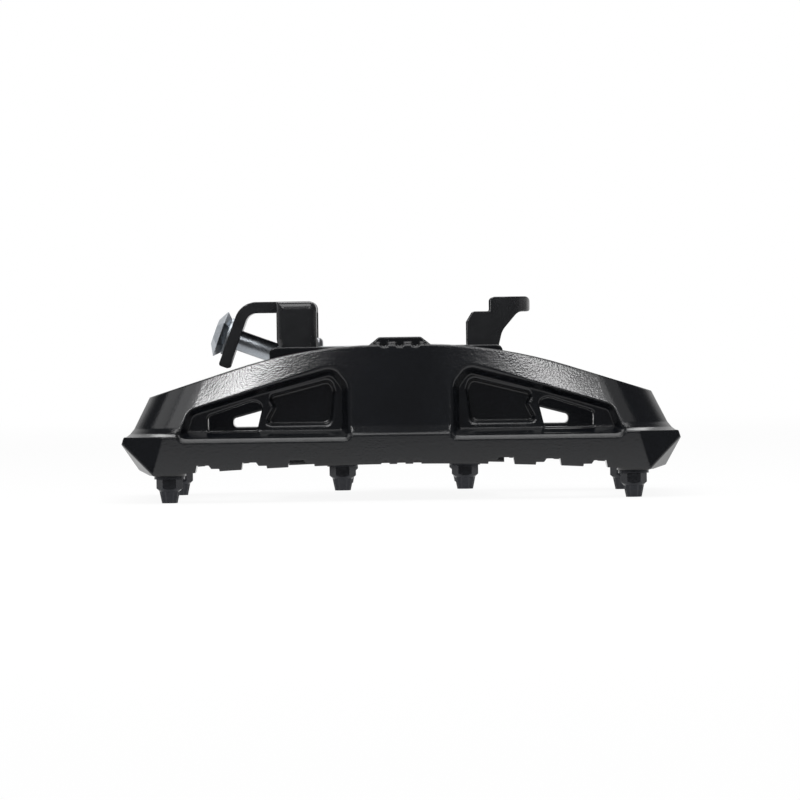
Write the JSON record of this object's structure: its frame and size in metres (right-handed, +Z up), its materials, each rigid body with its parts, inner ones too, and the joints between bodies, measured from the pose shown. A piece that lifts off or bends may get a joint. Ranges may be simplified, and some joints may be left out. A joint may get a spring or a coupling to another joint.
{
  "type": "clipless platform pedal",
  "caption": "Bicycle pedal with a flat cage, hexagonal traction pins on one side and a sprung cleat-clip mechanism on the other, turning on a threaded spindle.",
  "frame": {"origin": "on the spindle axis at the shoulder face that seats on the crank arm", "axes": "+Y along the spindle out of the pedal into the crank, +X forward to the toe, +Z up to the clip side"},
  "size_m": [0.1074, 0.1175, 0.0389],
  "materials": {
    "body": "satin black powder coat",
    "claw_steel": "semi-gloss black coating",
    "pins": "black oxide",
    "bolt_steel": "dark zinc",
    "axle_steel": "ground",
    "plate_steel": "stamped",
    "spring_steel": "drawn wire",
    "sleeve": "black anodised",
    "bush": "bearing polymer",
    "seal": "matte",
    "bearing_steel": "ground and polished"
  },
  "bodies": {
    "spindle": {"spindle": "axle_steel", "bearing_inner_ring": "bearing_steel", "spindle_washer": "axle_steel", "spindle_nut": "axle_steel"},
    "pedal": {"pedal_body": "body", "traction_pins": "pins", "pin_washers": "pins", "lock_sleeve": "sleeve", "bush": "bush", "dust_seal": "seal", "spacer_tube": "sleeve", "bearing_outer_ring": "bearing_steel", "bearing_shields": "bearing_steel", "front_claw": "claw_steel", "front_claw_screws": "pins", "cleat_plate": "plate_steel", "cleat_plate_screws": "pins", "pivot_pin": "axle_steel", "pivot_clips": "pins", "spring_near": "spring_steel", "spring_far": "spring_steel"},
    "bearing_set": {"bearing_balls": "bearing_steel", "bearing_cage": "bearing_steel"},
    "rear_claw": {"rear_claw": "claw_steel", "tension_bolt_washer": "bolt_steel"},
    "tension_bolt": {"tension_bolt": "bolt_steel"},
    "tension_nut": {"tension_nut": "bolt_steel"}
  },
  "joints": [
    {"name": "pedal_spin", "type": "hinge", "parent": "spindle", "child": "pedal", "pos_m": [0, 0, 0], "axis": [0, 1, 0], "continuous": true},
    {"name": "bearing_spin", "type": "hinge", "parent": "spindle", "child": "bearing_set", "pos_m": [0, -0.0865, 0], "axis": [0, 1, 0], "continuous": true},
    {"name": "claw_pivot", "type": "hinge", "parent": "pedal", "child": "rear_claw", "pos_m": [-0.0195, -0.057, 0.003], "axis": [0, -1, 0], "range_deg": [0, 15], "stiffness_Nm_per_rad": 1, "springref_deg": -20.05, "deforming": ["spring_near", "spring_far"]},
    {"name": "bolt_turn", "type": "hinge", "parent": "rear_claw", "child": "tension_bolt", "pos_m": [-0.0352, -0.057, 0.0137], "axis": [-0.9379, 0, 0.3469], "range_deg": [-360, 360]},
    {"name": "nut_travel", "type": "slide", "parent": "rear_claw", "child": "tension_nut", "axis": [-0.9379, 0, 0.3469], "range_m": [-0.0007, 0.0007], "deforming": ["spring_near", "spring_far"]}
  ],
  "couplings": [
    {"joint": "bearing_spin", "follows": "pedal_spin", "ratio": 0.5992},
    {"joint": "nut_travel", "follows": "bolt_turn", "m_per_rad": -0.00011141}
  ]
}
